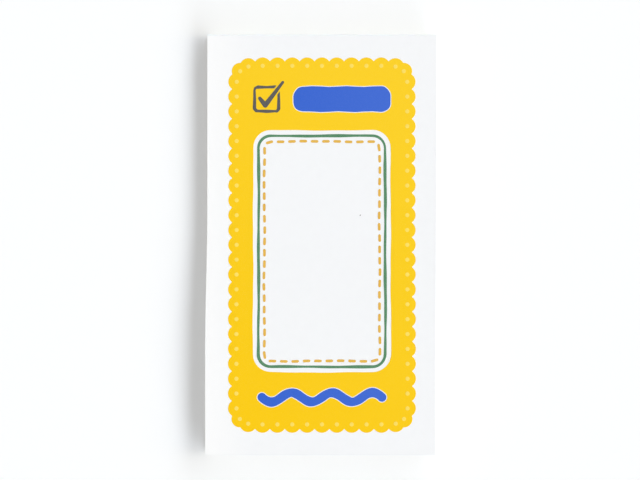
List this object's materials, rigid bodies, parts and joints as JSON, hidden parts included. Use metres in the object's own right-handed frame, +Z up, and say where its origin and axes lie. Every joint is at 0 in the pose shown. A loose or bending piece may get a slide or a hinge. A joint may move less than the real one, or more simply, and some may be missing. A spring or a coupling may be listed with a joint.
{
  "type": "tear-off notepad",
  "caption": "Tall tear-off notepad of printed sheets on a backing board, glued along the head, with a bare writing window inside a printed field.",
  "frame": {"origin": "centre of the backing board's underside, on the surface that the pad lies on", "axes": "+X across the pad to the reader's right, +Y along the sheets from the loose foot to the glued head, +Z up from the board to the printed face"},
  "size_m": [0.0771, 0.1404, 0.0083],
  "materials": {
    "paper": "uncoated bright white writing paper",
    "board": "plain grey chipboard",
    "glue": "dried white padding glue with a soft sheen",
    "ink_yellow": "flat printed yellow",
    "ink_pale_yellow": "flat printed pale yellow",
    "ink_orange": "flat printed light orange",
    "ink_green": "flat printed green",
    "ink_blue": "flat printed blue",
    "ink_charcoal": "flat printed charcoal"
  },
  "bodies": {
    "root": {"page_block": "paper", "backing_board": "board", "glue_binding": "glue", "yellow_field": "ink_yellow", "pale_dots": "ink_pale_yellow", "orange_line": "ink_orange", "green_line": "ink_green", "blue_bar": "ink_blue", "blue_wave": "ink_blue", "tick_box": "ink_charcoal", "tick_mark": "ink_charcoal"}
  },
  "joints": []
}
